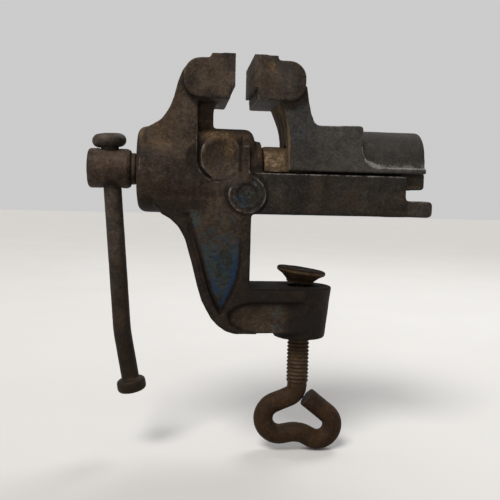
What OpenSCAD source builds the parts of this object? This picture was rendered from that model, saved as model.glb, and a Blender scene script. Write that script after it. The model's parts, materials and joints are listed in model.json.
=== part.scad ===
// Clamp-on bench vise, 51 mm jaws: fixed casting, sliding jaw, two screws and a C-clamp.
// Frame: X along the main screw, Y across the jaws, Z up.
// The origin lies on the flat bench rest under the beam, straight above the clamp screw.

/* [Jaws] */
// Width of both jaw heads across Y
jaw_w = 51; // [44:1:60]
// Distance between the two gripping faces
jaw_gap = 10.7; // [4:0.1:14]
// Thickness of the hardened face plates
face_t = 3.3; // [3:0.1:5]
// Height of the raised step along the gripping edge
step_h = 2.6; // [1:0.1:3]

/* [Fixed casting] */
// Width of the arms and the beam across Y
beam_w = 42; // [40:1:44]
// Height of the main screw above the bench rest
axis_z = 25.6; // [25.2:0.1:26]
// Radius of the screw housing
boss_r = 26; // [25:0.5:27]
// Width of the leg and the clamp arm
leg_w = 42; // [38:1:43]
// Slope of the leg recess, which runs out under the beam, in degrees
panel_lean = 6.5; // [2:0.5:8]
// Depth of the recess in the clamp arm
panel_d = 3; // [1:0.5:5]
// Height of the round cast emblem pad
badge_h = 1.6; // [0.5:0.1:2.5]

/* [Main screw] */
// Thread pitch of the main screw
main_pitch = 5; // [4:0.5:6]
// Outer radius of the main thread
main_r = 8; // [7.5:0.1:8]
// Diameter of the tommy bar
bar_d = 11; // [9:0.5:12]
// Lean of the tommy bar from vertical in degrees
bar_tilt = 4.2; // [0:0.2:6]

/* [Bench clamp] */
// Thread pitch of the clamp screw
clamp_pitch = 2.4; // [2:0.1:3]
// Outer radius of the clamp thread
thread_r = 7.1; // [6.6:0.1:7.3]
// Radius of the bent clamp handle
clamp_r = 6.3; // [6:0.05:6.5]
// Radius of the swivel pad
pad_r = 15.5; // [13:0.1:17]
// Tilt of the swivel pad in degrees
pad_tilt = 7.5; // [0:0.5:7.5]

/* [Hidden] */
$fn = 96;
e = 0.01;
lf = -45.7;                  // gripping face of the fixed jaw
rf = lf + jaw_gap;           // gripping face of the sliding jaw
jaw_top = 91.9;
head_bot = 66.2;
notch_z = 73;                // lower edge of the face plates
hw = beam_w / 2;
beam_end = 60;
beam_top = 24.9;
slide_z = 26.3;              // underside of the sliding block
slide_end = 72;
barrel_r = 17.8;             // half barrel at the rear of the sliding jaw
barrel_z = 35.2;
boss_x0 = -102;
house_x1 = -32;
mouth_x = -27.3;             // mouth of the nut chamber
pocket_x0 = -66.5;            // side pockets: ends in X and depth plane
pocket_x1 = -40.5;
pocket_y = 17;
pocket_z = 32.2;
cup = [-52.7, 0, 33.4];      // middle of the dished cup in each pocket
cup_r = 12.2;
leg_in = -34;                // leg face that meets the bench edge
arm_top = -44.3;
arm_bot = -72.3;
badge = [-37, 0, 11.6];
badge_r = 11.5;
rib_x0 = -40.3;
rib_x1 = -35.8;
stop_x = 51.2;               // stop pin
tongue_end = 77.3;
tongue_h = 10.2;
slot_hw = 14.3;              // half width of the guide slot
trap_hw = 17;                // half width of the keeper chamber
trap_z = 17.2;               // underside of the slot lips
nut_r = 16.3;
nut_x0 = -27;
bar_x = -118;                // where the tommy bar crosses the screw axis
ball_z = -38.9;
ball_r = 4.6;

module iron() { color([0.30, 0.24, 0.21]) children(); }
module steel() { color([0.42, 0.38, 0.35]) children(); }
module rusty() { color([0.48, 0.33, 0.22]) children(); }

// Extrudes an XZ outline symmetrically across Y.
module wide(w) { rotate([90, 0, 0]) linear_extrude(height = w, center = true) children(); }

// Cylinder whose axis runs along X from x0 to x1 at screw height.
module xcyl(x0, x1, r, z = axis_z) {
    translate([x0, 0, z]) rotate([0, 90, 0]) cylinder(r = r, h = x1 - x0);
}

// Cylinder along X with both rims rounded.
module soft_xcyl(x0, x1, r, f) {
    translate([x0, 0, axis_z]) rotate([0, 90, 0]) rotate_extrude() soft_half(r, x1 - x0, f);
}

module soft_half(r, h, f) {
    square([r - f, h]);
    translate([0, f]) square([r, h - 2 * f]);
    for (y = [f, h - f]) translate([r - f, y]) circle(r = f);
}

// Outline of a jaw head drawn for the fixed jaw: face on the right, rounded back.
module head_outline(len) {
    r = 10;
    translate([-len + r, head_bot]) square([len - r, jaw_top - step_h - head_bot]);
    translate([-len, head_bot + r]) square([len, jaw_top - step_h - head_bot - 2 * r]);
    translate([-len + r, head_bot + r]) circle(r = r);
    translate([-len + r, jaw_top - step_h - r]) circle(r = r);
    translate([-14.2, jaw_top - step_h - 1]) square([14.2, step_h + 1]);
}

// Seat for the face plate, cut out of a head outline.
module plate_seat(extra = 0) {
    translate([-face_t - extra, notch_z]) square([face_t + 1 + extra, 40]);
    translate([-face_t + 1, head_bot - 1]) square([face_t, notch_z - head_bot + 2]);
}

// Fillet: fills the corner at p, opening towards +X and +Z, or towards -X when flipped.
module corner(p, r, flip = false) {
    translate(p) mirror([flip ? 1 : 0, 0]) difference() {
        translate([-e, -e]) square(r + e);
        translate([r, r]) circle(r = r);
    }
}

module thread_outline(r, pitch, len, depth) {
    n = floor(len / pitch);
    polygon(concat([[0, 0]],
        [for (i = [0 : n - 1]) each [[r - depth, i * pitch], [r - depth, (i + 0.2) * pitch],
            [r, (i + 0.45) * pitch], [r, (i + 0.75) * pitch]]],
        [[r - depth, n * pitch], [r - depth, len], [0, len]]));
}

// Bent rod: each step is [straight run, bend angle, bend radius], always in the XZ plane.
// Slightly larger balls close the joints between the straight runs and the bends.
module bent_rod(d, steps, i = 0) {
    run = steps[i][0];
    a = steps[i][1];
    r = steps[i][2];
    s = a < 0 ? -1 : 1;
    gap = 0.3;
    ball = d / 2 + 0.05;
    translate([0, 0, gap]) cylinder(d = d, h = run - (a == 0 ? 1 : 2) * gap);
    if (a != 0) {
        translate([0, 0, run]) sphere(r = ball);
        translate([s * r, 0, run]) rotate([90, 0, 0]) rotate([0, 0, s > 0 ? 180 - a : 0])
            rotate_extrude(angle = abs(a)) translate([r, 0]) circle(d = d);
        translate([s * r * (1 - cos(a)), 0, run + r * sin(abs(a))]) rotate([0, a, 0]) {
            sphere(r = ball);
            if (i < len(steps) - 1) bent_rod(d, steps, i + 1);
        }
    }
}

// ---------- fixed casting ----------

module leg_outline() {
    polygon([[leg_in, 6], [leg_in, arm_top], [0, arm_top], [0, arm_bot], [-42.4, arm_bot],
        [-48.4, -70.4], [-53.2, -66.9], [-56.9, -62.8], [-59.9, -57.7], [-63, -51.8],
        [-65.5, -44], [-67.4, -36.3], [-69.3, -28.7], [-71.1, -22.8], [-73, -15.8],
        [-77.2, -8.2], [-81.9, -3.7], [-88, -0.4], [-88, 10], [-50, 15]]);
}

module leg_panel() {
    polygon([[-75.5, 8], [-71.6, -3], [-68.4, -13.2], [-64.7, -24.5], [-61.6, -36.3],
        [-58.5, -46.4], [-54.9, -55.4], [-51.3, -60.6], [-46.6, -51.5], [-41.6, -39],
        [-40.2, -30], [-40.2, 8]]);
}

module arm_panel() {
    polygon([[-47.2, -60.2], [-42.6, -55.9], [-36.8, -53.4], [1, -52.6], [1, -82],
        [-26, -82], [-26, -73], [-30, -71.6], [-38, -70.2], [-45.4, -66.2]]);
}

module front_arm() {
    web_x = -56.9;
    wide(beam_w)
        polygon([[-97.5, axis_z], [-97.5, 48.6], [-94.1, 50.3], [-88.4, 53.7], [-85.6, 57.2],
            [-82.8, 61.8], [-80.6, 67.5], [-78.5, 76.1], [-76.3, 82], [-73.6, 85.6], [-68, 86.8],
            [pocket_x0, 86.8], [pocket_x0, axis_z]]);
    wide(16) difference() {
        translate([pocket_x0 - 1, axis_z]) square([web_x - pocket_x0 + 5, head_bot - axis_z + 1]);
        translate([web_x + 9, 60]) circle(r = 9);
        translate([web_x, 40]) square([10, 20]);
    }
}

module front_head() {
    translate([lf, 0, 0]) wide(jaw_w) difference() {
        head_outline(29.6);
        plate_seat();
    }
}

module beam() {
    translate([-60, -hw, 0]) cube([beam_end + 60, beam_w, beam_top]);
    // tongue past the end of the beam, with a rounded nose
    wide(beam_w - 3) {
        translate([beam_end - 1, 0]) square([tongue_end - beam_end - 1.6, tongue_h]);
        translate([beam_end - 1, 2.6]) square([tongue_end - beam_end + 1, tongue_h - 5.2]);
        for (z = [2.6, tongue_h - 2.6]) translate([tongue_end - 2.6, z]) circle(r = 2.6);
        corner([beam_end, tongue_h - e], 2);
    }
}

// Screw housing: a round barrel that tapers into the flat sides of the beam.
module housing() difference() {
    soft_xcyl(boss_x0, house_x1, boss_r, 5.5);
    for (m = [0, 1]) mirror([0, m, 0]) translate([-72, -boss_r, -10]) {
        rotate([0, 0, 14]) translate([0, -20, 0]) cube([60, 20, 80]);
        translate([20, -20, 0]) cube([60, 20 + boss_r - hw, 80]);
    }
}

module badge_pad() {
    // round cast pad with a double rim, and the rib that runs up from it
    translate([badge[0], -hw - badge_h, badge[2]]) rotate([-90, 0, 0]) difference() {
        cylinder(r = badge_r, h = badge_h + 2);
        translate([0, 0, -1]) cylinder(r = badge_r - 4.9, h = 2.5);
        translate([0, 0, -1]) difference() {
            cylinder(r = badge_r - 2, h = 2.3);
            cylinder(r = badge_r - 3.3, h = 3);
        }
    }
    rib_h = 1.4;
    translate([rib_x0, -hw - rib_h, 20]) cube([rib_x1 - rib_x0, 6, 20.6]);
    translate([0, -hw - rib_h + 3, 0]) wide(6) {
        corner([rib_x1, 21.6], 6);
        corner([rib_x0, 21.6], 6, true);
    }
}

// Leg and clamp arm: the leg recess is deepest at the heel, the arm recess is open below.
module leg() difference() {
    wide(leg_w) leg_outline();
    for (s = [-1, 1]) {
        translate([0, s * leg_w / 2, 2]) rotate([-s * panel_lean, 0, 0])
            translate([0, s * 10, -2]) wide(20) leg_panel();
        translate([0, s * (leg_w / 2 - panel_d + 10), 0]) wide(20) arm_panel();
    }
}

module pocket_outline() {
    translate([(pocket_x0 + pocket_x1) / 2, pocket_z]) circle(d = pocket_x1 - pocket_x0);
    translate([pocket_x0, pocket_z]) square([pocket_x1 - pocket_x0, head_bot - pocket_z]);
}

module cup_outline() {
    for (z = [-1, 1]) translate([cup[0], cup[2] + z]) circle(r = cup_r);
    translate([cup[0] - cup_r, cup[2] - 1]) square([2 * cup_r, 2]);
}

module body() iron() difference() {
    union() {
        housing();
        front_arm();
        front_head();
        beam();
        leg();
        soft_xcyl(-38, mouth_x, 19, 1);
        // lower half of the housing blended down into the leg
        wide(beam_w) polygon([[-92, 4], [-92, axis_z], [-40, axis_z], [-40, 0], [-84, 0]]);
        // clamp boss, a tapered barrel that rounds off the arm
        translate([0, 0, -77]) cylinder(r1 = 16.4, r2 = 19.9, h = arm_top + 77);
        badge_pad();
    }
    // arched pockets on both sides, each with a dished cup set off by a groove
    for (s = [-1, 1]) {
        translate([0, s * (pocket_y + 10), 0]) wide(20) pocket_outline();
        translate([0, s * (pocket_y - 2.4 + 10), 0]) wide(20) difference() {
            pocket_outline();
            cup_outline();
        }
        translate([cup[0], s * (pocket_y + 24), cup[2]]) sphere(r = 26.4);
        translate([0, s * 29.6, 0]) wide(20) translate([rib_x1, beam_top]) square([10, 30]);
    }
    // journal, screw chamber and nut chamber
    xcyl(boss_x0 - 1, -78, 8.5);
    xcyl(-80, mouth_x + 1, 12.5);
    xcyl(-39, mouth_x + 1, 16.9);
    // guide slot, open at the top and at the rear end
    translate([-34, -slot_hw, 9]) cube([beam_end + 40, 2 * slot_hw, beam_top - 8]);
    translate([-33, -trap_hw, 9]) cube([beam_end + 40, 2 * trap_hw, trap_z - 9]);
    // threaded hole of the clamp
    translate([0, 0, -80]) cylinder(r = thread_r + 0.35, h = 40);
    // holes of the jaw rivets and the stop pin
    rivets(lf, -1, 2.02);
    translate([stop_x, 0, -1]) cylinder(r = 2.52, h = 12);
}

// Two round rivets that pin a face plate to its jaw, s = -1 fixed jaw, 1 sliding jaw.
module rivets(x, s, r) {
    for (y = [-14, 14]) translate([x + s * (face_t - 2.4), y, 82])
        rotate([0, s * 90, 0]) cylinder(r = r, h = 9);
}

// Steel plate with a slim serrated grip, drawn for the fixed jaw with its face at x.
module jaw_plate(x, s) {
    translate([x, 0, 0]) mirror([s > 0 ? 1 : 0, 0, 0]) difference() {
        translate([-face_t + 0.02, -jaw_w / 2, notch_z + 0.02])
            cube([face_t - 0.02, jaw_w, jaw_top - notch_z - 0.02]);
        for (z = [notch_z + 3 : 2.5 : jaw_top - 2])
            translate([0.55, 0, z]) rotate([0, 45, 0]) cube([1.2, jaw_w + 2, 1.2], center = true);
        for (y = [-14, 14]) translate([-face_t - 1, y, 82]) rotate([0, 90, 0])
            cylinder(r = 2.02, h = 3.42);
    }
}

module front_jaw_plate() steel() jaw_plate(lf, -1);
module rear_jaw_plate() steel() jaw_plate(rf, 1);
module front_jaw_rivets() steel() rivets(lf, -1, 2);
module rear_jaw_rivets() steel() rivets(rf, 1, 2);

// ---------- sliding jaw ----------

module slide_arm_outline() {
    difference() {
        polygon([[-24, slide_z], [32, slide_z], [32, 54.3], [4, 53.5], [-24, 53.5]]);
        translate([-24.1, 0]) square([11.5, 60]);
        translate([32, 54.3]) rotate(45) square(2.2, center = true);
    }
    difference() {
        polygon([[-12.6, 40], [-19.6, 69], [-19.6, 76], [-2.7, 76], [-1.2, 66.1], [0.8, 57.5],
            [2, 53.6], [6, 50]]);
        translate([-12.6 - 53, 40]) circle(r = 53, $fn = 240);
    }
    corner([1.2, 53.45], 5);
}

module sliding_jaw() iron() difference() {
    union() {
        wide(beam_w) slide_arm_outline();
        translate([rf, 0, 0]) mirror([1, 0, 0]) wide(jaw_w) difference() {
            head_outline(30.8);
            plate_seat();
        }
        // half barrel over the rear of the screw
        translate([30, 0, barrel_z]) rotate([0, 90, 0]) rotate_extrude() {
            square([barrel_r - 2, slide_end - 30]);
            square([barrel_r, slide_end - 32]);
            translate([barrel_r - 2, slide_end - 32]) circle(r = 2);
        }
        translate([30, -barrel_r, slide_z]) cube([slide_end - 30, 2 * barrel_r, barrel_z - slide_z]);
        // flared foot and the fillet that joins it to the block
        wide(beam_w) {
            translate([30, slide_z]) square([slide_end - 30, 3.9]);
            corner([32, slide_z + 3.85], 11);
        }
        // guide that runs in the slot of the beam
        translate([-11, -14, trap_z - 0.4]) cube([slide_end + 12.3, 28, slide_z - trap_z + 1]);
    }
    // the barrel must not reach below the sliding face
    translate([20, -30, -10]) difference() {
        cube([80, 60, 10 + slide_z]);
        translate([-1, 16, 0]) cube([90, 28, 40]);
    }
    xcyl(-20, slide_end + 5, 9);
    xcyl(-20, 10, nut_r);
    // the guide ends in front of the beam nose
    translate([slide_end + 1.3, 0, trap_z - 3.5]) rotate([0, 45, 0]) cube([6, 40, 6], center = true);
    rivets(rf, 1, 2.02);
    for (x = [14, 40], y = [-11.6, 11.6]) translate([x, y, trap_z - 2]) cylinder(r = 1.27, h = 7);
    translate([-4, 0, axis_z]) cylinder(r = 2.02, h = 40);
}

module main_nut() rusty() difference() {
    soft_xcyl(nut_x0, 9.98, nut_r, 1.6);
    xcyl(nut_x0 - 1, 12, main_r + 0.35);
    // flat underside clears the keeper plate, flat sides run in the guide slot
    translate([nut_x0 - 1, -20, 0]) cube([50, 40, trap_z]);
    for (s = [-1, 1]) translate([nut_x0 - 1, s * 24 - 10, 0]) cube([50, 20, beam_top + 0.3]);
    translate([-4, 0, axis_z]) cylinder(r = 2.02, h = 30);
}

module nut_pin() steel() translate([-4, 0, axis_z + 10]) cylinder(r = 2, h = 17.5);

module keeper_plate() steel() difference() {
    translate([-5, -16.6, 12.6]) cube([63, 33.2, trap_z - 0.5 - 12.6]);
    for (x = [14, 40], y = [-11.6, 11.6]) translate([x, y, 0]) {
        cylinder(r = 1.52, h = 30);
        cylinder(r = 3.03, h = 14.6);
    }
}

module keeper_screws() steel() for (x = [14, 40], y = [-11.6, 11.6]) translate([x, y, 12.7]) {
    difference() {
        cylinder(r = 3, h = 1.9);
        translate([0, 0, 0.2]) cube([0.9, 8, 1.6], center = true);
    }
    cylinder(r = 1.25, h = 8.2);
}

// ---------- main screw ----------

module bar_axis() { translate([bar_x, 0, axis_z]) rotate([0, -bar_tilt, 0]) children(); }

module main_screw() rusty() difference() {
    union() {
        translate([-131.4, 0, axis_z]) rotate([0, 90, 0]) rotate_extrude() {
            soft_half(12, 25, 2);
            square([11.2, 25.4]);
        }
        xcyl(-109, -103, 9.6);
        xcyl(-104, -78, 8.4);
        translate([-78.5, 0, axis_z]) rotate([0, 90, 0]) rotate_extrude()
            thread_outline(main_r, main_pitch, 138.5, 1.1);
    }
    bar_axis() cylinder(d = bar_d + 0.7, h = 60, center = true);
    translate([-74, 0, axis_z - 30]) cylinder(r = 1.52, h = 60);
}

module retaining_collar() steel() difference() {
    xcyl(-77.8, -70, 12);
    xcyl(-79, -69, main_r + 0.05);
    translate([-74, 0, axis_z - 30]) cylinder(r = 1.52, h = 60);
}

module collar_pin() steel() translate([-74, 0, axis_z - 11.8]) cylinder(r = 1.5, h = 23.6);

module tommy_bar() rusty() bar_axis() {
    // straight bar, then the bent lower end with its forged knob
    translate([0, 0, 19]) rotate([180, 0, 0]) bent_rod(bar_d, [[114, 6, 90], [30.5, 0, 1]]);
    translate([3.5, 0, -134]) rotate([0, -6, 0]) translate([0, 0, -4.1]) rotate_extrude() {
        square([6.4, 8.2]);
        translate([0, 2.6]) square([9, 3]);
        for (z = [2.6, 5.6]) translate([6.4, z]) circle(r = 2.6);
    }
}

module tommy_cap() rusty() bar_axis() translate([0, 0, 12.6]) difference() {
    rotate_extrude() {
        square([6.2, 8.2]);
        translate([6.2, 4.1]) circle(r = 4.1);
    }
    translate([0, 0, -1]) cylinder(d = bar_d + 0.04, h = 7.44);
}

// ---------- bench clamp ----------

module clamp_screw() rusty() difference() {
    union() {
        translate([0, 0, -107]) rotate_extrude()
            thread_outline(thread_r, clamp_pitch, 60.2, 1);
        translate([0, 0, -105]) rotate([180, 0, 0]) bent_rod(2 * clamp_r,
            [[4, -68, 8], [10.4, 167, 10.7], [4.9, -37.6, 17], [3.4, 169.6, 9.5], [17.5, 0, 1]]);
    }
    translate([0, 0, -58]) cylinder(r = 2.55, h = 30);
}

module swivel_ball() steel() {
    translate([0, 0, -56]) cylinder(r = 2.5, h = 16);
    translate([0, 0, ball_z]) sphere(r = ball_r);
}

module tilted() { translate([0, 0, ball_z]) rotate([0, pad_tilt, 0]) children(); }

module swivel_pad() rusty() tilted() difference() {
    rotate_extrude() difference() {
        polygon([[0, -4.1], [8.3, -4.1], [8.6, -2.6], [12, 0.6], [pad_r - 0.6, 2.2], [pad_r, 2.8],
            [pad_r, 4.4], [pad_r - 0.8, 5.2], [12.4, 5.2], [10, 4.5], [0, 4.5]]);
    }
    sphere(r = ball_r + 0.06);
    translate([0, 0, -6]) cylinder(r = ball_r + 0.06, h = 6);
    translate([0, 0, -5]) cylinder(r = 6.02, h = 2.6);
}

module pad_ring() steel() tilted() difference() {
    translate([0, 0, -3.9]) cylinder(r = 6, h = 1.4);
    translate([0, 0, -6]) cylinder(r = 3.9, h = 6);
}

module stop_pin() steel() translate([stop_x, 0, 0.3]) cylinder(r = 2.5, h = 10.6);

body();
front_jaw_plate();
front_jaw_rivets();
sliding_jaw();
rear_jaw_plate();
rear_jaw_rivets();
main_nut();
nut_pin();
keeper_plate();
keeper_screws();
main_screw();
retaining_collar();
collar_pin();
tommy_bar();
tommy_cap();
clamp_screw();
swivel_ball();
swivel_pad();
pad_ring();
stop_pin();
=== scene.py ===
import json
import math

import bmesh
import bpy
import numpy as np
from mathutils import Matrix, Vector


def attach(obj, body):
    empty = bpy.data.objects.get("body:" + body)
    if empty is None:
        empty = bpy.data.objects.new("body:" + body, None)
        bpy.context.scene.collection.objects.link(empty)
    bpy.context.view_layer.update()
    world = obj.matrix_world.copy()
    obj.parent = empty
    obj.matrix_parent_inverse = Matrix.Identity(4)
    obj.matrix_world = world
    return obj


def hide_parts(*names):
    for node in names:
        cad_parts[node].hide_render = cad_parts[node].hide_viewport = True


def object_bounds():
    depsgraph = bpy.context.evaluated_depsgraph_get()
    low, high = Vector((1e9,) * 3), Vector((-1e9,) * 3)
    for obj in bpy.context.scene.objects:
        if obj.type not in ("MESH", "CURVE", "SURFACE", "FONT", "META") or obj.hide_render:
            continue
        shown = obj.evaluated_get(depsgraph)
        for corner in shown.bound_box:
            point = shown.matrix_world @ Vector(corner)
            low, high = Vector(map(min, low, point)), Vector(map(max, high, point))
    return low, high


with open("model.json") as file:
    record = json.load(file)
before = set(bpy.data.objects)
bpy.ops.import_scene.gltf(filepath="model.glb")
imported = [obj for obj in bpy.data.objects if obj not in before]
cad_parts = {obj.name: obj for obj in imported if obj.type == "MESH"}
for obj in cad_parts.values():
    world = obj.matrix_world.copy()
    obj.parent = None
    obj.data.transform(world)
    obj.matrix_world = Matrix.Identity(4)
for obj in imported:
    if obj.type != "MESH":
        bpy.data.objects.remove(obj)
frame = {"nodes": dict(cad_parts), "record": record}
cad_low, cad_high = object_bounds()

MM = 0.001
scene = bpy.context.scene
scene.view_settings.view_transform = "Standard"

# Landmarks on the fixed casting, in millimetres. In a side view X runs across and Z up.
BADGE_X, BADGE_Z = -37.0, 11.6        # middle of the round emblem pad
CUP_X, CUP_Z = -52.7, 33.4            # middle of the dished cup in the side pocket
CUP_RIM = 11.6                        # radius of the cup's rim
POCKET_X, POCKET_Z = -53.5, 32.2      # middle of the pocket's round lower end
POCKET_LEFT = -66.5                   # the pocket's straight left edge
RIB_LEFT, RIB_RIGHT = -40.6, -35.6    # the rib that stands over the emblem pad
RIB_MIDDLE = -38.0
SIDE_Y = 21.0                         # half the width of the beam
LEG_Z = (-60, -46, -24, -3)           # heights, and the inner edge of the leg's outer flange there
LEG_FLANGE_X = (-51.5, -58.5, -64.7, -71.6)
LEG_TOP_Z, LEG_TOP_X = 8, -75.5       # where that edge meets the housing
LEG_INNER_Z = (-60, -39, -30, 8)      # heights, and the inner edge of the leg's recess there
LEG_INNER_X = (-51, -41.6, -40.2, -40.2)
BLUE_EDGE_Z = (-60, -38, 0)           # heights, and where the brighter blue paint starts there
BLUE_EDGE_X = (-53, -45, -42.5)
ARM_TOP_X = (-47, -42, -36, 0)        # places along the clamp arm, and its recess's upper edge there
ARM_TOP_Z = (-60, -56, -53.8, -53)
ARM_LOW_X = (-47, -38, -28, 0)        # the same for the lower edge
ARM_LOW_Z = (-62, -70, -73, -73)

# Regions of the fixed casting, each as two corners in millimetres. None leaves a side open.
HOUSING_TOP = ((-104, None, 38), (-66, None, 66))
HOUSING_FOOT = ((-104, None, -4), (-62, None, 9))
HOUSING_FACE = ((-104, None, None), (-99, None, None))
SADDLE = ((-66, None, 42), (-44, None, 54))
WEB = ((-66.5, -18, 46), (-54, 18, 68))
ARM_ROOT = ((-96, None, 40), (-64, None, 70))
FRONT_HEAD = ((-78, None, 66), (-45, None, 92))
HEAD_AND_ARM = ((-82, None, 60), (-44, None, 92))
POCKET = ((-68, None, 18), (-36, None, 42))
RIB = ((RIB_LEFT, None, 24), (RIB_RIGHT, None, 41))
RIB_AND_EDGES = ((-44, None, 14), (-32, None, 42))
BEFORE_RIB = ((-42.2, None, 25), (-40.2, None, 47))
BEHIND_RIB = ((-35.5, None, 24), (-26, None, 46))
NUT_SIDE = ((-36, None, 24), (-26, None, 46))
BEAM = ((-34, None, -2), (80, None, 27))
BEAM_SIDE = ((-32, None, -4), (58, None, 30))
BEAM_EDGE = ((-36, None, 20), (60, None, 26))
TONGUE = ((60, None, -1), (78, None, 12))
CLAMP_ARM = ((-36, None, -80), (22, None, -42))
CLAMP_ARM_TOP = ((-36, None, -50), (24, None, -40))
CLAMP_BOSS_SIDE = ((-20, None, -71), (-12, None, -54))
FRONT_SEAT = ((-53, None, 70), (None, None, None))

# Regions of the sliding casting.
REAR_HEAD = ((-37, None, 62), (-1, None, 93))
REAR_HEAD_SIDE = ((-36, None, 64), (-2, None, 92))
REAR_HEAD_TOP = ((-32, None, 82), (-8, None, 93))
REAR_HEAD_STEP = ((-34, None, 82.5), (-8, None, 87.5))
REAR_HEAD_FACE = ((-37, None, 62), (-26, None, 93))
REAR_ARM = ((-14, None, 28), (6, None, 72))
ARM_FACE = ((-24, None, 26), (-9, None, 70))
BLOCK = ((4, None, 27), (34, None, 56))
BLOCK_TOP = ((-8, None, 46), (34, None, 56))
BARREL = ((33, None, 33), (73, None, 48))
BARREL_TOP = ((33, None, 44), (75, None, 56))
SLIDE_FOOT = ((26, None, 26), (73, None, 34))
SLIDE_END = ((60, None, 14), (76, None, 26))
SCOOP_X, SCOOP_Z, SCOOP_R = 43, 41.2, 11    # the hollow between the block and the barrel
REAR_SEAT = ((None, None, 70), (-27, None, None))

# Spots on the castings: strength, middle and radius in millimetres.
RUST_SPOTS = ((0.5, (-49, -17, 42), 8), (0.4, (-53, -17, 33), 12), (0.45, (-52, -21, 2), 9),
              (0.4, (-70, -21, -2), 7), (0.5, (-47, -20, -14), 6), (0.5, (-60, -20, -8), 7))
LIGHT_SPOTS = ((1.2, (-88, -20, 40), 6), (1.2, (-84, -20, 47), 5))
PAINT_SPOTS = ((0.6, (-28.5, -21, 21.5), 5), (0.5, (-14, -21, 13), 6))
SLIDE_RUST_SPOTS = ((0.5, (-22, -25, 80), 4), (0.3, (40, -18, 47), 7))

# ---------------------------------------------------------------- camera

camera_data = bpy.data.cameras.new("camera")
camera_data.sensor_width = 36.0
camera_data.lens = 46.5
camera_data.clip_start = 0.01
camera = bpy.data.objects.new("camera", camera_data)
camera.location = (-0.07514, -0.4005, 0.00929)
camera.rotation_euler = tuple(math.radians(a) for a in (85.455, -1.381, -5.991))
scene.collection.objects.link(camera)
scene.camera = camera

# ---------------------------------------------------------------- node helpers


class Graph:
    """Short names for building one material's node tree."""

    def __init__(self, name):
        self.mat = bpy.data.materials.new(name)
        self.mat.use_nodes = True
        self.tree = self.mat.node_tree
        self.tree.nodes.clear()
        self.out = self.node("ShaderNodeOutputMaterial")
        self.shader = self.node("ShaderNodeBsdfPrincipled")
        self.link(self.shader.outputs[0], self.out.inputs[0])
        self.coord = self.node("ShaderNodeTexCoord").outputs["Object"]

    def node(self, kind, **props):
        made = self.tree.nodes.new(kind)
        for key, value in props.items():
            setattr(made, key, value)
        return made

    def link(self, a, b):
        self.tree.links.new(a, b)

    def put(self, socket, value):
        if isinstance(value, bpy.types.NodeSocket):
            self.link(value, socket)
        else:
            socket.default_value = value

    def noise(self, scale, detail=4.0, rough=0.55, coord=None, distort=0.0):
        n = self.node("ShaderNodeTexNoise")
        self.link(coord or self.coord, n.inputs["Vector"])
        n.inputs["Scale"].default_value = scale
        n.inputs["Detail"].default_value = detail
        n.inputs["Roughness"].default_value = rough
        n.inputs["Distortion"].default_value = distort
        return n.outputs["Fac"]

    def cells(self, scale):
        n = self.node("ShaderNodeTexVoronoi", feature="F1")
        self.link(self.coord, n.inputs["Vector"])
        n.inputs["Scale"].default_value = scale
        return n.outputs["Distance"]

    def math(self, op, a, b, clamp=False):
        n = self.node("ShaderNodeMath", operation=op, use_clamp=clamp)
        self.put(n.inputs[0], a)
        self.put(n.inputs[1], b)
        return n.outputs[0]

    def add(self, a, b, clamp=False):
        return self.math("ADD", a, b, clamp)

    def subtract(self, a, b):
        return self.math("SUBTRACT", a, b)

    def times(self, a, b):
        return self.math("MULTIPLY", a, b)

    def swing(self, noise, amount):
        """A noise's swing to both sides of its middle, made stronger or weaker."""
        return self.times(self.subtract(noise, 0.5), amount)

    def ramp(self, value, low, high, out_low=0.0, out_high=1.0):
        n = self.node("ShaderNodeMapRange", interpolation_type="SMOOTHSTEP")
        self.put(n.inputs["Value"], value)
        n.inputs["From Min"].default_value = low
        n.inputs["From Max"].default_value = high
        n.inputs["To Min"].default_value = out_low
        n.inputs["To Max"].default_value = out_high
        return n.outputs[0]

    def mix(self, fac, a, b):
        n = self.node("ShaderNodeMix", data_type="RGBA")
        self.put(n.inputs["Factor"], fac)
        self.put(n.inputs[6], a if isinstance(a, bpy.types.NodeSocket) else (*a, 1.0))
        self.put(n.inputs[7], b if isinstance(b, bpy.types.NodeSocket) else (*b, 1.0))
        return n.outputs[2]

    def attribute(self, name):
        return self.node("ShaderNodeAttribute", attribute_name=name).outputs["Fac"]

    def stretched(self, x, y, z):
        n = self.node("ShaderNodeMapping")
        self.link(self.coord, n.inputs["Vector"])
        n.inputs["Scale"].default_value = (x, y, z)
        return n.outputs[0]

    def bump(self, height, strength, distance, normal=None):
        n = self.node("ShaderNodeBump")
        self.put(n.inputs["Height"], height)
        n.inputs["Strength"].default_value = strength
        n.inputs["Distance"].default_value = distance
        if normal is not None:
            self.link(normal, n.inputs["Normal"])
        return n.outputs[0]


def scaled(colour, k):
    return tuple(c * k for c in colour)


# ---------------------------------------------------------------- old metal

COOL = (0.0195, 0.0152, 0.0140)       # the cooler of the wide soft patches
RUST = (0.082, 0.047, 0.021)
RUBBED = (0.165, 0.155, 0.145)        # bare metal on rubbed edges
AZURE = (0.0085, 0.026, 0.066)        # the brightest blue paint
SCRATCHES = (0.125, 0.088, 0.048)     # pale ridges of the ground arm face


def patina(g, tone, speck, dark, mid, light):
    """Three colours by tone, with pale and dark specks over them."""
    colour = g.mix(g.ramp(tone, 0.32, 0.56), dark, mid)
    colour = g.mix(g.ramp(tone, 0.50, 0.78), colour, light)
    colour = g.mix(g.ramp(speck, 0.56, 0.70, 0.0, 0.75), colour, scaled(light, 1.45))
    return g.mix(g.ramp(speck, 0.46, 0.30, 0.0, 0.6), colour, scaled(dark, 0.6))


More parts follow.
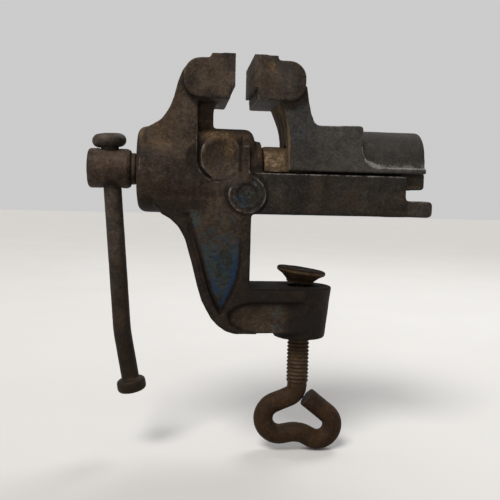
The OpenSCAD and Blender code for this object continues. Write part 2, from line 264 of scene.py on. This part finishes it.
def rust_layer(g, broad, patch, fine, cavity, rust, rusty):
    """A thin brown film, and brighter crusts where rust is marked: its mask, colour and height."""
    area = g.attribute("rust")
    bloom = g.noise(190.0, 9.0, 0.74, distort=0.9)
    level = g.add(bloom, g.swing(broad, 0.7))
    level = g.add(level, g.times(cavity, 0.10))
    level = g.add(level, g.times(area, 0.34))
    edge = 0.74 - 0.30 * rusty
    mask = g.ramp(level, edge, edge + 0.26)
    colour = g.mix(g.ramp(g.add(fine, g.swing(patch, 0.6)), 0.36, 0.64), scaled(rust, 0.38), rust)
    flakes = g.ramp(g.noise(420.0, 8.0, 0.75), 0.44, 0.66)
    crust = g.ramp(g.times(area, flakes), 0.3, 0.9)
    colour = g.mix(crust, colour, (rust[0] * 1.65, rust[1] * 1.9, rust[2] * 2.3))
    return mask, colour, g.times(g.times(bloom, mask), 0.7)


def paint_layer(g, tone, speck, wear, green, blue):
    """Chipped paint, left where paint is marked and gone from worn edges: its mask and colour."""
    area = g.attribute("paint")
    chip = g.noise(260.0, 9.0, 0.76, distort=0.7)
    cover = g.add(g.times(area, 0.55), g.times(chip, 0.95))
    cover = g.subtract(cover, g.times(wear, 0.30))
    cover = g.subtract(cover, g.ramp(area, 0.0, 0.10, 0.5, 0.0))
    hue = g.ramp(g.noise(85.0, 6.0, 0.65, distort=0.5), 0.40, 0.62)
    colour = g.mix(hue, green, blue)
    colour = g.mix(g.ramp(tone, 0.54, 0.38, 0.0, 0.85), colour, scaled(green, 0.4))
    colour = g.mix(g.ramp(speck, 0.54, 0.70, 0.0, 0.6), colour, scaled(green, 1.7))
    colour = g.mix(g.times(g.attribute("azure"), 0.85), colour, AZURE)
    return g.ramp(cover, 0.76, 0.96, 0.0, 0.9), colour


def old_metal(name, dark, mid, light, cool=COOL, rust=RUST, rusty=0.3, worn=0.5, gloss=0.0,
              grain=1.0, warmth=0.5, second=None, paint=None, streaks=False):
    """Old iron or steel: mottled patina, rust patches, worn edges, pits, dirt, paint remains and
    painted shade and highlights.
    Second is another dark, mid and light for the points marked second. Paint is a green and a
    blue. Rusty and worn say how much of it is rust or rubbed, and warmth how brown it is."""
    g = Graph(name)
    broad = g.noise(36.0, 5.0, 0.6)
    patch = g.noise(140.0, 8.0, 0.68, distort=0.5)
    fine = g.noise(520.0, 8.0, 0.75)
    speck = g.noise(1500.0, 4.0, 0.65)
    wear, cavity, shade = g.attribute("wear"), g.attribute("cavity"), g.attribute("shade")

    # mottled patina from near black to a dusty brown, warmer and cooler in wide soft patches
    tone = g.add(g.times(patch, 0.55), g.times(broad, 0.45))
    tone = g.add(tone, g.swing(fine, 0.95))
    # marked light raises the tone, as pale dust and as painted highlight; marked shade lowers it,
    # mostly as painted shade
    tone = g.add(tone, g.times(g.attribute("light"), 0.12))
    tone = g.subtract(tone, g.times(shade, 0.08))
    tone = g.add(tone, g.swing(g.noise(88.0, 5.0, 0.6, distort=0.8), 0.5))
    colour = patina(g, tone, speck, dark, mid, light)
    if second is not None:
        colour = g.mix(g.attribute("second"), colour, patina(g, tone, speck, *second))
    tint = g.noise(52.0, 6.0, 0.62, distort=0.6)
    colour = g.mix(g.ramp(tint, 0.46, 0.68, 0.0, warmth), colour, scaled(rust, 0.42))
    colour = g.mix(g.ramp(tint, 0.50, 0.30, 0.0, 0.55), colour, cool)

    rust_mask, rust_colour, rust_height = rust_layer(g, broad, patch, fine, cavity, rust, rusty)
    colour = g.mix(g.times(rust_mask, 0.85), colour, rust_colour)
    heights = g.add(g.times(fine, 0.6), g.times(speck, 0.3))
    if paint is not None:
        paint_mask, paint_colour = paint_layer(g, tone, speck, wear, *paint)
        colour = g.mix(paint_mask, colour, paint_colour)
        heights = g.add(heights, g.times(paint_mask, 0.3))

    # dirt settles in corners; wide hollows and most marked shade are darkened as painted shade, the
    # marked dirt partly as painted shade, and marked dirt and streaks are matte
    colour = g.mix(g.times(cavity, 0.65), colour, scaled(dark, 0.3))
    colour = g.mix(g.times(g.attribute("hollow"), 0.55), colour, scaled(dark, 0.4))
    colour = g.mix(g.times(shade, 0.55), colour, scaled(dark, 0.6))
    dirt_and_shade = g.attribute("dirt_and_shade")
    colour = g.mix(g.times(dirt_and_shade, 0.8), colour, scaled(dark, 0.45))
    matte = g.add(dirt_and_shade, g.attribute("streak"), clamp=True)

    # rubbed edges show lighter, smoother metal
    broken = g.ramp(g.add(fine, patch), 0.75, 1.2, 0.25, 1.0)
    rub = g.ramp(g.times(wear, broken), 0.25, 0.95, 0.0, worn)
    colour = g.mix(rub, colour, RUBBED)
    roughness = g.ramp(g.add(g.times(patch, 0.5), g.times(fine, 0.5)),
                       0.35, 0.65, 0.58 - gloss, 0.80 - gloss)
    roughness = g.subtract(roughness, g.times(rub, 0.2))
    roughness = g.add(roughness, g.times(rust_mask, 0.2))
    roughness = g.add(roughness, g.times(matte, 0.5), clamp=True)
    bare = g.subtract(1.0, g.add(rust_mask, matte, clamp=True))

    pits = g.times(g.ramp(g.cells(620.0), 0.0, 0.32), 0.4)
    heights = g.add(g.add(heights, pits), rust_height)
    normal = g.bump(heights, 0.7 * grain, 0.0005)
    normal = g.bump(patch, 0.4 * grain, 0.0012, normal)
    if streaks:
        lines = g.noise(300.0, 4.0, 0.6, coord=g.stretched(0.6, 1.1, 0.1))
        streak = g.attribute("streak")
        normal = g.bump(g.times(lines, streak), 0.9, 0.0009, normal)
        colour = g.mix(g.times(streak, g.ramp(lines, 0.44, 0.56, 0.1, 1.0)), colour, SCRATCHES)

    g.put(g.shader.inputs["Base Color"], colour)
    g.put(g.shader.inputs["Metallic"], g.times(bare, 0.25))
    g.put(g.shader.inputs["Roughness"], roughness)
    g.put(g.shader.inputs["Normal"], normal)
    g.shader.inputs["Specular IOR Level"].default_value = 0.13
    return g.mat


# ---------------------------------------------------------------- mesh helpers


PRIMES = (73856093, 19349663, 83492791)
SEED_FACTOR, MIX_FACTOR = 2654435761, 1274126177


def lattice(co, seed):
    """Smooth value noise from 0 to 1 at the points co, in numpy, the same every run."""
    cell = np.floor(co).astype(np.int64)
    part = co - cell
    part = part * part * (3 - 2 * part)
    total = np.zeros(len(co))
    for corner in range(8):
        bits = np.array([corner & 1, corner >> 1 & 1, corner >> 2 & 1])
        p = (cell + bits) * PRIMES
        h = p[:, 0] ^ p[:, 1] ^ p[:, 2] ^ (seed * SEED_FACTOR)
        h = (h ^ (h >> 13)) * MIX_FACTOR & 0xFFFFFFFF
        h = (h ^ (h >> 16)) & 0xFFFF
        w = np.prod(np.where(bits, part, 1 - part), axis=1)
        total += w * (h / 0xFFFF)
    return total


def rumble(co, size, seed, octaves=3):
    """Octaves of lattice noise from -1 to 1; size is the largest feature, in metres."""
    total, amount, weight = np.zeros(len(co)), 1.0, 0.0
    for i in range(octaves):
        total += amount * (lattice(co / size * 2 ** i + 31.7 * i, seed + i) * 2 - 1)
        weight += amount
        amount *= 0.5
    return total / weight


def vectors_of(mesh, what):
    """The mesh's vertex places (co) or directions (normal), one row each."""
    values = np.empty(len(mesh.vertices) * 3)
    mesh.vertices.foreach_get(what, values)
    return values.reshape(-1, 3)


def edges_of(mesh):
    ends = np.empty(len(mesh.edges) * 2, np.int64)
    mesh.edges.foreach_get("vertices", ends)
    return ends.reshape(-1, 2)


def move_vertices(mesh, co):
    mesh.vertices.foreach_set("co", co.ravel())
    mesh.update()


def relax(values, edges, rounds, share=0.5):
    """Moves each vertex's values towards its neighbours' mean, by a share or one per vertex."""
    n = len(values)
    start, end = edges.T
    degree = np.maximum(np.bincount(edges.ravel(), minlength=n), 1)
    flat = values.reshape(n, -1).copy()
    for _ in range(rounds):
        for k in range(flat.shape[1]):
            v = flat[:, k]
            total = np.bincount(start, v[end], n) + np.bincount(end, v[start], n)
            flat[:, k] = v + share * (total / degree - v)
    return flat.reshape(values.shape)


def smooth_step(x, low, high):
    t = np.clip((x - low) / (high - low), 0, 1)
    return t * t * (3 - 2 * t)


def ridge(x, middle, width):
    """1 in the middle, falling to 0 over about the width on both sides."""
    return np.exp(-((x - middle) / width) ** 2)


def ball_mask(co, centre, radius, soft=0.5):
    """1 inside a ball given in millimetres, falling to 0 outside it."""
    d = np.linalg.norm(co / MM - np.array(centre), axis=1) / radius
    return 1 - smooth_step(d, 1 - soft, 1 + soft)


def spots(co, rows):
    return sum(amount * ball_mask(co, centre, radius) for amount, centre, radius in rows)


def box_mask(co, low, high, soft):
    """1 inside a box given in millimetres, falling to 0 over soft mm."""
    p = co / MM
    inside = np.ones(len(co))
    for k in range(3):
        if low[k] is not None:
            inside *= smooth_step(p[:, k], low[k] - soft, low[k] + soft)
        if high[k] is not None:
            inside *= 1 - smooth_step(p[:, k], high[k] - soft, high[k] + soft)
    return inside


def set_attribute(mesh, name, values):
    a = mesh.attributes.get(name) or mesh.attributes.new(name, "FLOAT", "POINT")
    a.data.foreach_set("value", np.clip(values, 0, 1).astype(np.float32))


def body_name(node):
    return next(b for b, ns in frame["record"]["behaviour"]["bodies"].items() if node in ns)


def remeshed(node, voxel, bury=None):
    """A copy of a CAD node's surface as an even grid of small quads. Bury pushes the points
    beyond a plane across X further in that direction, so that a plate sinks into its seat."""
    mesh = frame["nodes"][node].data.copy()
    if bury is not None:
        plane, depth = bury
        co = vectors_of(mesh, "co")
        co[(co[:, 0] - plane * MM) * depth > 0, 0] += depth * MM
        move_vertices(mesh, co)
    bm = bmesh.new()
    bm.from_mesh(mesh)
    bmesh.ops.remove_doubles(bm, verts=bm.verts, dist=2e-6)
    bm.to_mesh(mesh)
    bm.free()
    temp = bpy.data.objects.new("temp", mesh)
    scene.collection.objects.link(temp)
    mod = temp.modifiers.new("voxels", "REMESH")
    mod.mode = "VOXEL"
    mod.voxel_size = voxel
    mod.adaptivity = 0.0
    graph = bpy.context.evaluated_depsgraph_get()
    made = bpy.data.meshes.new_from_object(temp.evaluated_get(graph))
    bpy.data.objects.remove(temp)
    return made


def finish_piece(mesh, name, node, material):
    mesh.materials.clear()
    mesh.materials.append(material)
    mesh.polygons.foreach_set("use_smooth", [True] * len(mesh.polygons))
    mesh.name = name
    piece = bpy.data.objects.new(name, mesh)
    scene.collection.objects.link(piece)
    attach(piece, body_name(node))
    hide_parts(node)


def worn_areas(sharp, co, no, edges, voxel, rounding):
    """Wear on edges and dirt in corners, told from how far the smoothing pulled each point in, and
    the grooves and recesses that get painted shade, told from the same over a wide area."""
    pulled = relax(np.einsum("ij,ij->i", sharp - co, no) / MM, edges, 2)
    reach = 0.22 * voxel / 0.6
    wear = smooth_step(pulled, 0.25 * reach, 1.6 * reach)
    cavity = smooth_step(-pulled, 0.2 * reach, 1.5 * reach)
    wide = relax(co, edges, int(40 * (0.6 / voxel)) + rounding)
    hollow = smooth_step(np.einsum("ij,ij->i", wide - co, no) / MM, 0.1, 0.9)
    return wear, cavity, hollow


def dents_and_pits(co, dents, dent_size, pits, seed):
    depth = dents * MM * rumble(co, dent_size * MM, seed) - dents * MM
    return depth - pits * MM * np.clip(rumble(co, 2.2 * MM, seed + 7, 2) * 2.2, 0, 1)


def weathered(node, name, material, voxel=0.6, rounding=8, dents=0.12, dent_size=9.0,
              pits=0.05, marks=None, shape=None, crisp=None, bury=None, seed=1):
    """Rebuilds a CAD node as a soft-edged casting or forging with dents, pits and wear data.
    Sizes are in millimetres. Marks gives attributes and shape a depth at each point, and crisp
    is 1 where the surface stays as sharp and clean as the CAD's."""
    mesh = remeshed(node, voxel * MM, bury)
    sharp, edges = vectors_of(mesh, "co"), edges_of(mesh)
    co = relax(sharp, edges, rounding, 0.5 if crisp is None else 0.5 * (1 - crisp(sharp)))
    move_vertices(mesh, co)
    no = vectors_of(mesh, "normal")
    wear, cavity, hollow = worn_areas(sharp, co, no, edges, voxel, rounding)
    depth = dents_and_pits(co, dents, dent_size, pits, seed)
    if shape is not None:
        depth += shape(co, no)
    if crisp is not None:
        depth *= 1 - crisp(co)
        wear, cavity, hollow = (v * (1 - crisp(co)) for v in (wear, cavity, hollow))
    co = co + no * depth[:, None]
    move_vertices(mesh, co)
    data = {"wear": wear, "cavity": cavity, "hollow": hollow}
    data.update(marks(co, no, wear) if marks else {})
    for key, values in data.items():
        set_attribute(mesh, key, values)
    finish_piece(mesh, name, node, material)


# ---------------------------------------------------------------- materials

iron_body = old_metal(
    "iron_body", dark=(0.0088, 0.0056, 0.0038), mid=(0.0255, 0.0168, 0.0112),
    light=(0.062, 0.044, 0.030), rusty=0.28, worn=0.6, warmth=0.35,
    second=((0.0068, 0.0052, 0.0040), (0.0185, 0.0145, 0.0112), (0.046, 0.039, 0.032)),
    paint=((0.030, 0.041, 0.039), (0.016, 0.031, 0.044)))
iron_slide = old_metal(
    "iron_slide", dark=(0.017, 0.0145, 0.0122), mid=(0.033, 0.029, 0.0242),
    light=(0.058, 0.052, 0.046), cool=(0.028, 0.026, 0.024), rusty=0.12, worn=0.9, warmth=0.25,
    second=((0.0088, 0.0060, 0.0045), (0.028, 0.0192, 0.0142), (0.062, 0.046, 0.034)),
    paint=((0.027, 0.031, 0.034), (0.019, 0.026, 0.036)), streaks=True)
steel_jaw = old_metal(
    "steel_jaw", dark=(0.0088, 0.0060, 0.0045), mid=(0.0275, 0.0190, 0.0138),
    light=(0.062, 0.046, 0.034), rusty=0.3, worn=0.5)
rust_heavy = old_metal(
    "rust_heavy", dark=(0.010, 0.0055, 0.003), mid=(0.038, 0.022, 0.011),
    light=(0.090, 0.060, 0.033), rust=(0.125, 0.080, 0.045), rusty=0.9, worn=0.2, grain=1.6)
steel_screw = old_metal(
    "steel_screw", dark=(0.012, 0.0074, 0.0048), mid=(0.033, 0.0208, 0.0138),
    light=(0.066, 0.048, 0.036), rusty=0.4, worn=0.5, gloss=0.05)
# its second colours are a darker, warmer copy used as painted shade on the rod's lower end
steel_bar = old_metal(
    "steel_bar", dark=(0.012, 0.0085, 0.0060), mid=(0.026, 0.0185, 0.0134),
    light=(0.052, 0.041, 0.032), rusty=0.2, worn=0.4, gloss=0.08, grain=0.8,
    second=((0.0075, 0.0039, 0.0019), (0.0170, 0.0094, 0.0050), (0.033, 0.0205, 0.0120)))
steel_cap = old_metal(
    "steel_cap", dark=(0.016, 0.0120, 0.0088), mid=(0.035, 0.0262, 0.0200),
    light=(0.068, 0.055, 0.045), rusty=0.2, worn=0.5, gloss=0.08)
steel_clamp = old_metal(
    "steel_clamp", dark=(0.0105, 0.0050, 0.0020), mid=(0.0225, 0.0106, 0.0043),
    light=(0.045, 0.0240, 0.0102), cool=(0.020, 0.0122, 0.0074), rust=(0.066, 0.033, 0.012),
    rusty=0.4, worn=0.4, grain=1.2,
    second=((0.020, 0.0108, 0.0048), (0.043, 0.0262, 0.0128), (0.082, 0.055, 0.030)))
steel_small = old_metal(
    "steel_small", dark=(0.012, 0.009, 0.0066), mid=(0.032, 0.0235, 0.0175),
    light=(0.060, 0.047, 0.037), rusty=0.3, worn=0.5)


# ---------------------------------------------------------------- fixed casting


def side_facing(no):
    return smooth_step(np.abs(no[:, 1]), 0.5, 0.9)


def badge_distance(x, z):
    return np.hypot(x - BADGE_X, z - BADGE_Z)


def panel_area(x, z):
    """1 inside the leg recess, seen from the side, falling to 0 towards its edges."""
    left = np.interp(z, (*LEG_Z, LEG_TOP_Z), (*LEG_FLANGE_X, LEG_TOP_X))
    right = np.interp(z, LEG_INNER_Z, LEG_INNER_X)
    inside = smooth_step(x - left, 0.4, 3) * smooth_step(right - x, -0.2, 1)
    return inside * smooth_step(-z, -4.5, -1) * smooth_step(z, -63, -60)


def arm_area(x, z):
    """1 inside the open recess of the clamp arm."""
    top = np.interp(x, ARM_TOP_X, ARM_TOP_Z)
    low = np.interp(x, ARM_LOW_X, ARM_LOW_Z)
    return smooth_step(x, -46.5, -44) * (1 - smooth_step(x, -15, -8)) * (z < top) * (z > low)


def cast_grooves(x, y, z):
    """The sunken outlines beside the rib and round the emblem pad."""
    beside_rib = ridge(x, RIB_LEFT - 1, 0.75) * smooth_step(z, 22, 26) * smooth_step(-z, -42, -40)
    round_pad = ridge(badge_distance(x, z), 12.5, 0.8) * smooth_step(np.abs(x - RIB_MIDDLE), 2.5, 4.5)
    return np.clip(beside_rib + round_pad, 0, 1) * smooth_step(np.abs(y), 19.5, 20.5)


def bright_edges(x, y, z):
    """The rubbed edges of the side pocket, of the rib beside it and of the housing's face."""
    round_end = np.hypot(x - POCKET_X, z - POCKET_Z) - (POCKET_X - POCKET_LEFT)
    outside = np.where(z < POCKET_Z, round_end, POCKET_LEFT - x)
    pocket = ridge(outside, 0.7, 0.7) * (np.abs(y) > 18.5) * smooth_step(-x, 44, 47)
    pocket *= smooth_step(-z, -58, -50)
    rib = ridge(x, RIB_LEFT + 0.6, 0.45) + ridge(x, RIB_RIGHT - 0.6, 0.45)
    rib *= smooth_step(z, 24, 27) * smooth_step(-z, -41, -39) * smooth_step(np.abs(y), 21.4, 21.9)
    return pocket + rib + 0.8 * ridge(x, -99.6, 0.8) * ridge(z, 28, 9)


def body_rust(co, top):
    rust = 0.95 * box_mask(co, *HOUSING_TOP, 6) * (0.5 + 0.5 * top)
    rust += box_mask(co, *SADDLE, 2.5) * top
    rust += spots(co, RUST_SPOTS)
    return rust + 0.6 * box_mask(co, *NUT_SIDE, 2) + 0.5 * box_mask(co, *WEB, 2)


def body_paint(co, side, panel, arm):
    """Blue paint is left in the recesses, on the emblem pad and in a few spots beside it. Gives
    how much paint there is, and how bright a blue."""
    x, y, z = (co / MM).T
    inner_side = smooth_step(x - np.interp(z, BLUE_EDGE_Z, BLUE_EDGE_X), -1, 1)
    azure = panel * smooth_step(-z, 16, 26) * inner_side
    azure += 0.5 * ball_mask(co, (-41, -21, 8), 4)
    flecks = np.clip(2.4 * rumble(co, 5 * MM, 47) - 0.2, 0, 1)
    azure += 0.9 * panel * smooth_step(-z, 16, 32) * flecks
    paint = panel * (0.56 + 0.24 * smooth_step(-z, 4, 28)) + 0.30 * np.clip(azure, 0, 1)
    paint += 0.3 * ball_mask(co, (-69, -21, -4), 5) * side
    paint += (0.40 + 0.22 * box_mask(co, *CLAMP_BOSS_SIDE, 3)) * arm
    paint += spots(co, PAINT_SPOTS)
    paint += 0.66 * (1 - smooth_step(badge_distance(x, z), 8.2, 9.6)) * smooth_step(-y, 19, 20.5)
    return paint, azure * (0.4 + 0.6 * panel * smooth_step(-z, 14, 40))


def body_light(co, panel, arm, rib):
    """The heads and arm root are dusty and pale, with painted highlights on the cup's rim and partly
    the rib.
    """
    x, y, z = (co / MM).T
    light = 0.6 * box_mask(co, *FRONT_HEAD, 4) + 0.9 * box_mask(co, *ARM_ROOT, 6)
    light += 1.6 * box_mask(co, *WEB, 2) + spots(co, LIGHT_SPOTS)
    in_pocket = smooth_step(np.abs(y), 13, 15) * (1 - smooth_step(np.abs(y), 18, 19.5))
    # painted highlight on the cup's rim; the rib is paler, partly as painted highlight
    light += 1.2 * ridge(np.hypot(x - CUP_X, z - CUP_Z), CUP_RIM, 1.3) * in_pocket + 1.4 * rib
    light += 0.2 * arm + 0.8 * panel * smooth_step(z, -30, -14)
    return light + 0.4 * box_mask(co, *TONGUE, 2)


def body_shade(co, paint, arm):
    """Painted shade: the leg, the clamp arm and the foot of the housing are darker than the top, and
    so is a band inside the leg's outer flange.
    """
    x, y, z = (co / MM).T
    shade = 0.8 * (1 - smooth_step(z, -20, 8))
    shade = np.maximum(shade, box_mask(co, *HOUSING_FOOT, 5))
    shade = np.maximum(shade, 0.35 * box_mask(co, *BEAM_SIDE, 3))
    shade = np.maximum(shade, box_mask(co, *CLAMP_ARM, 2))
    flange = ridge(x, np.interp(z, LEG_Z, LEG_FLANGE_X) + 0.5, 3.0)
    shade = np.maximum(shade, flange * (z < 2) * (z > -62))
    return shade * (1 - np.clip(0.8 * paint + 0.8 * arm, 0, 1))


def body_dirt_and_shade(co, top):
    """Dirt lies on top of the clamp arm, the cast grooves are darker, and both sides of the rib get
    painted shade.
    """
    x, y, z = (co / MM).T
    dirt_and_shade = box_mask(co, *CLAMP_ARM_TOP, 1.5) * top + 0.6 * cast_grooves(x, y, z)
    # painted shade in the crease before the rib and on the housing's end behind it
    dirt_and_shade += box_mask(co, *BEFORE_RIB, 0.6) * (np.abs(y) < SIDE_Y + 0.2) * (np.abs(y) > 15)
    return dirt_and_shade + 0.4 * box_mask(co, *BEHIND_RIB, 1)


def body_rims(co):
    """How far the edges are rubbed: most at the emblem pad, the rib and the housing's face."""
    x, y, z = (co / MM).T
    rims = box_mask(co, *HOUSING_FACE, 1.5) + box_mask(co, *BEAM_EDGE, 2)
    rims += 0.9 * ridge(badge_distance(x, z), 10.5, 2) * smooth_step(-y, 20, 21)
    rims += 1.3 * box_mask(co, *RIB_AND_EDGES, 2) + 0.8 * box_mask(co, *POCKET, 2)
    return rims + 0.4 * box_mask(co, *HEAD_AND_ARM, 3) + 0.6 * box_mask(co, *TONGUE, 1)


def body_marks(co, no, wear):
    x, y, z = (co / MM).T
    top = smooth_step(no[:, 2], 0.05, 0.6)
    side = side_facing(no)
    panel, arm = panel_area(x, z) * side, arm_area(x, z) * side
    rib = box_mask(co, *RIB, 0.6) * smooth_step(np.abs(y), SIDE_Y, SIDE_Y + 0.8)
    paint, azure = body_paint(co, side, panel, arm)
    return {"rust": body_rust(co, top), "paint": paint, "azure": azure,
            "light": body_light(co, panel, arm, rib), "shade": body_shade(co, paint, arm),
            "dirt_and_shade": body_dirt_and_shade(co, top), "second": np.clip(box_mask(co, *BEAM, 3) + rib, 0, 1),
            "wear": wear * np.clip(0.2 + body_rims(co), 0, 1) + 0.75 * bright_edges(x, y, z)}


def body_shape(co, no):
    """Softens the inner edge of the leg's outer flange into a slope, and sinks the grooves."""
    x, y, z = (co / MM).T
    slope = ridge(x, np.interp(z, LEG_Z, LEG_FLANGE_X) - 0.3, 1.8)
    slope *= (z < 0) * smooth_step(z, -60, -52) * side_facing(no) * smooth_step(np.abs(y), 18, 20)
    return -MM * (1.1 * slope + 0.7 * cast_grooves(x, y, z) * side_facing(no))


def near_front_plate(co):
    return box_mask(co, *FRONT_SEAT, 1.0)


weathered("body", "fixed_casting", iron_body, voxel=0.62, rounding=12, dents=0.16, marks=body_marks,
          shape=body_shape, crisp=near_front_plate, seed=3)

# ---------------------------------------------------------------- sliding casting


def striated(co, no):
    """The rough, hand-ground face of the sliding arm that looks at the fixed jaw."""
    return smooth_step(-no[:, 0], 0.5, 0.85) * box_mask(co, *ARM_FACE, 2)


def slide_marks(co, no, wear):
    x, y, z = (co / MM).T
    rust = 0.8 * box_mask(co, *REAR_HEAD_TOP, 3) * smooth_step(no[:, 2] + 0.3, 0, 0.6)
    rust += 0.75 * box_mask(co, *REAR_HEAD_STEP, 2) * (0.6 + rumble(co, 5 * MM, 61))
    rust += 0.8 * box_mask(co, *SLIDE_END, 2) + spots(co, SLIDE_RUST_SPOTS)
    # the foot flange and the scoop's edge are paler and rubbed: wear, and a painted highlight where
    # their upward faces catch light
    foot = box_mask(co, *SLIDE_FOOT, 1.5) * smooth_step(no[:, 2], -0.2, 0.3)
    scoop_edge = ridge(np.hypot(x - SCOOP_X, z - SCOOP_Z), SCOOP_R, 1.6)
    foot += scoop_edge * (x < SCOOP_X + 0.5) * (z < SCOOP_Z + 0.8) * (np.abs(y) > 17)
    rims = 0.35 + foot + 0.8 * box_mask(co, *BLOCK_TOP, 2) + 0.5 * box_mask(co, *REAR_HEAD_FACE, 1)
    light = 0.4 * box_mask(co, *REAR_HEAD_SIDE, 4) + 0.9 * box_mask(co, *BLOCK, 6)
    return {"rust": rust + 0.3 * striated(co, no),
            "paint": 0.62 * box_mask(co, *REAR_ARM, 5) * side_facing(no),
            "light": light + 1.6 * foot,
            "second": box_mask(co, *REAR_HEAD, 4) + striated(co, no),
            "streak": striated(co, no),
            "dirt_and_shade": 0.35 * box_mask(co, *BARREL_TOP, 3) * smooth_step(no[:, 2], 0.3, 0.8),
            # painted shade on the middle of the barrel
            "shade": 0.3 * box_mask(co, *BARREL, 3),
            "wear": wear * np.clip(rims, 0, 1) + 0.6 * foot}


def slide_shape(co, no):
    grooves = rumble(co * np.array([1.0, 1.0, 0.12]), 2.4 * MM, 21, 2)
    return -0.35 * MM * np.clip(grooves + 0.2, 0, 1) * striated(co, no)


def near_rear_plate(co):
    return box_mask(co, *REAR_SEAT, 1.0)


weathered("sliding_jaw", "sliding_casting", iron_slide, voxel=0.55, rounding=11, dents=0.12,
          marks=slide_marks, shape=slide_shape, crisp=near_rear_plate, seed=11)

# ---------------------------------------------------------------- smaller pieces


def nut_marks(co, no, wear):
    bloom = ball_mask(co, (-21, -14, 31), 6, 0.6)
    return {"rust": 0.3 + 0.5 * rumble(co, 7 * MM, 5) + bloom, "light": bloom}


def rod_marks(co, no, wear):
    # painted shade and light: the rod is darker, in its darker warmer second colours, towards its
    # lower end and paler towards its top
    z = co[:, 2] / MM
    low = 1 - smooth_step(z, -100, -20)
    return {"shade": 0.6 * low, "second": low, "light": 1.4 * smooth_step(z, -40, 15)}


def thread_marks(co, no, wear):
    return {"second": smooth_step(co[:, 2] / MM, -112, -102)}


def even_light(amount):
    return lambda co, no, wear: {"light": np.full(len(co), amount)}


def spindle_marks(co, no, wear):
    blots = rumble(co, 7 * MM, 31, 4)
    patches = rumble(co, 9 * MM, 37, 4)
    return {"rust": 0.2 + 1.5 * blots, "shade": 2.2 * patches, "light": 1.0 - 2 * patches}


def pad_marks(co, no, wear):
    top = smooth_step(no[:, 2], 0.0, 0.5)
    # the saucer's top is darker, as painted shade and dirt
    return {"second": 0.7 - 0.4 * top, "light": np.full(len(co), 0.6), "dirt_and_shade": top,
            "shade": 0.5 * top}


weathered("main_nut", "nut_sleeve", rust_heavy, voxel=0.5, rounding=4, dents=0.35, dent_size=4.0,
          pits=0.25, marks=nut_marks, seed=5)
weathered("main_screw", "screw_spindle", steel_screw, voxel=0.42, rounding=3, dents=0.06,
          dent_size=5.0, pits=0.10, marks=spindle_marks, seed=6)
weathered("tommy_bar", "tommy_bar_rod", steel_bar, voxel=0.5, rounding=4, dents=0.07, dent_size=7.0,
          pits=0.04, marks=rod_marks, seed=7)
weathered("tommy_cap", "tommy_bar_cap", steel_cap, voxel=0.4, rounding=5, dents=0.12, dent_size=5.0,
          pits=0.05, marks=even_light(1.0), seed=8)
weathered("clamp_screw", "clamp_screw_rod", steel_clamp, voxel=0.36, rounding=2, dents=0.07,
          dent_size=5.0, pits=0.08, marks=thread_marks, seed=9)
weathered("swivel_pad", "swivel_saucer", steel_clamp, voxel=0.32, rounding=4, dents=0.1,
          dent_size=5.0, pits=0.06, marks=pad_marks, seed=10)
# the back of each jaw plate, beyond the plane given, sinks 1.2 mm into its seat to hide the seam
jaw_plates = (("front_jaw_plate", (-47.5, -1.2)), ("rear_jaw_plate", (-33.5, 1.2)))
for number, (jaw, bury) in enumerate(jaw_plates):
    weathered(jaw, jaw + "_steel", steel_jaw, voxel=0.3, rounding=1, dents=0.03, dent_size=6.0,
              pits=0.04, marks=even_light(0.9), bury=bury, seed=12 + number)
weathered("keeper_plate", "keeper_bar", steel_small, voxel=0.45, rounding=3, dents=0.05, seed=15)

# small hardware keeps its CAD shape
for node in ("front_jaw_rivets", "rear_jaw_rivets", "nut_pin", "keeper_screws", "retaining_collar",
             "collar_pin", "swivel_ball", "pad_ring", "stop_pin"):
    cad = frame["nodes"][node]
    cad.data.materials.clear()
    cad.data.materials.append(steel_small)

# ---------------------------------------------------------------- floor and light

FLOOR_HALF = 6.0
FLOOR_GAP = 0.0005
floor_mesh = bpy.data.meshes.new("floor")
corners = ((-1, -1), (1, -1), (1, 1), (-1, 1))
floor_mesh.from_pydata([(x * FLOOR_HALF, y * FLOOR_HALF, cad_low.z - FLOOR_GAP) for x, y in corners],
                       [], [(0, 1, 2, 3)])
floor = bpy.data.objects.new("floor", floor_mesh)
scene.collection.objects.link(floor)
pale = Graph("pale_floor")
pale.put(pale.shader.inputs["Base Color"],
         pale.mix(pale.noise(6.0), (0.42, 0.41, 0.395), (0.46, 0.45, 0.435)))
pale.shader.inputs["Roughness"].default_value = 0.9
floor_mesh.materials.append(pale.mat)

world = bpy.data.worlds.new("studio")
world.use_nodes = True
background = world.node_tree.nodes["Background"]
background.inputs["Color"].default_value = (0.80, 0.80, 0.80, 1.0)
background.inputs["Strength"].default_value = 0.75
scene.world = world


LAMP_AIM = (-0.03, 0.0, -0.02)


def lamp(kind, name, place, power, colour, **extra):
    data = bpy.data.lights.new(name, kind)
    data.energy = power
    data.color = colour
    for key, value in extra.items():
        setattr(data, key, value)
    obj = bpy.data.objects.new(name, data)
    obj.location = place
    towards = Vector(LAMP_AIM) - Vector(place)
    obj.rotation_euler = towards.to_track_quat("-Z", "Y").to_euler()
    scene.collection.objects.link(obj)


# the key is a far lamp, so that the floor is evenly bright up to the horizon
lamp("SUN", "key", (-0.45, -0.7, 1.0), 3.6, (1.0, 0.985, 0.96), angle=math.radians(24))
lamp("AREA", "rim", (0.5, 0.6, 1.0), 8.0, (0.96, 0.98, 1.0), shape="DISK", size=0.6)
